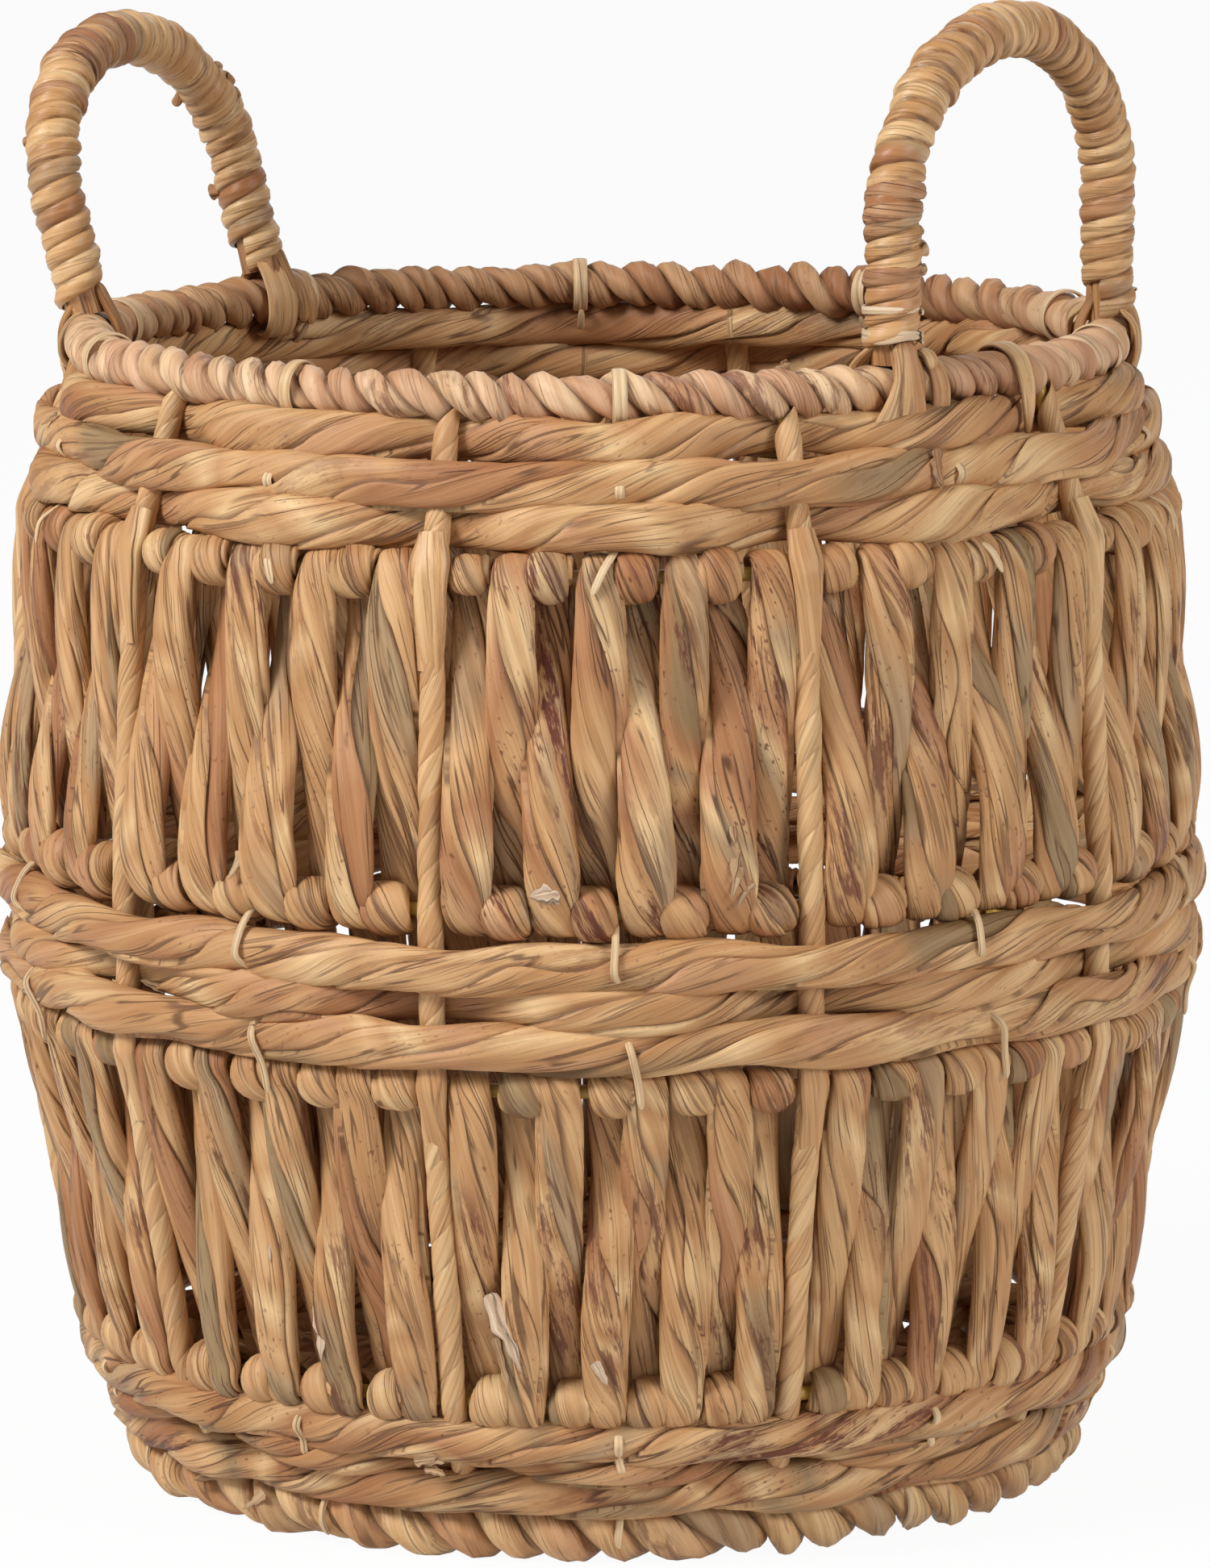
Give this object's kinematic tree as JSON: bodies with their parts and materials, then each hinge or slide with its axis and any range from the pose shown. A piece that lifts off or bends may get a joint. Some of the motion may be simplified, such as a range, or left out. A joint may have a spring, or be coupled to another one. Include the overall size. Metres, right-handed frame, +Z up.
{
  "type": "planter basket",
  "caption": "Round open basket of twisted leaf strands wound on a welded wire frame, with woven rope bands and two upright hoop handles, used as a planter cover or for storage.",
  "frame": {"origin": "middle of the base ring, on the plane that the basket stands on", "axes": "+Z up along the basket's axis, X through the two handles, right-hand handle of the picture at +X"},
  "size_m": [0.3326, 0.3326, 0.4072],
  "materials": {
    "wire": "satin yellow paint",
    "floor_leaf": "dry leaf, matt",
    "rim_leaf": "dry leaf, matt",
    "base_leaf": "dry leaf, matt",
    "rope_leaf": "dry leaf, matt",
    "upright_leaf": "dry leaf, faint sheen",
    "strand_leaf": "dry leaf, faint sheen",
    "handle_core": "dry cane, matt",
    "handle_leaf": "dry leaf, faint sheen"
  },
  "bodies": {
    "root": {"wire_frame": "wire", "floor_mat": "floor_leaf", "rim_wrap": "rim_leaf", "base_wrap": "base_leaf", "top_band_row_1": "rope_leaf", "top_band_row_2": "rope_leaf", "top_band_row_3": "rope_leaf", "middle_band_row_1": "rope_leaf", "middle_band_row_2": "rope_leaf", "middle_band_row_3": "rope_leaf", "bottom_band_row_1": "rope_leaf", "bottom_band_row_2": "rope_leaf", "bottom_band_row_3": "rope_leaf", "upright_wrap_01": "upright_leaf", "upper_winding_01": "strand_leaf", "lower_winding_01": "strand_leaf", "upright_wrap_02": "upright_leaf", "upper_winding_02": "strand_leaf", "lower_winding_02": "strand_leaf", "upright_wrap_03": "upright_leaf", "upper_winding_03": "strand_leaf", "lower_winding_03": "strand_leaf", "upright_wrap_04": "upright_leaf", "upper_winding_04": "strand_leaf", "lower_winding_04": "strand_leaf", "upright_wrap_05": "upright_leaf", "upper_winding_05": "strand_leaf", "lower_winding_05": "strand_leaf", "upright_wrap_06": "upright_leaf", "upper_winding_06": "strand_leaf", "lower_winding_06": "strand_leaf", "upright_wrap_07": "upright_leaf", "upper_winding_07": "strand_leaf", "lower_winding_07": "strand_leaf", "upright_wrap_08": "upright_leaf", "upper_winding_08": "strand_leaf", "lower_winding_08": "strand_leaf", "upright_wrap_09": "upright_leaf", "upper_winding_09": "strand_leaf", "lower_winding_09": "strand_leaf", "upright_wrap_10": "upright_leaf", "upper_winding_10": "strand_leaf", "lower_winding_10": "strand_leaf", "left_handle_core": "handle_core", "left_handle_wrap": "handle_leaf", "left_foot_strap_1": "handle_leaf", "left_foot_strap_2": "handle_leaf", "right_handle_core": "handle_core", "right_handle_wrap": "handle_leaf", "right_foot_strap_1": "handle_leaf", "right_foot_strap_2": "handle_leaf"}
  },
  "joints": []
}
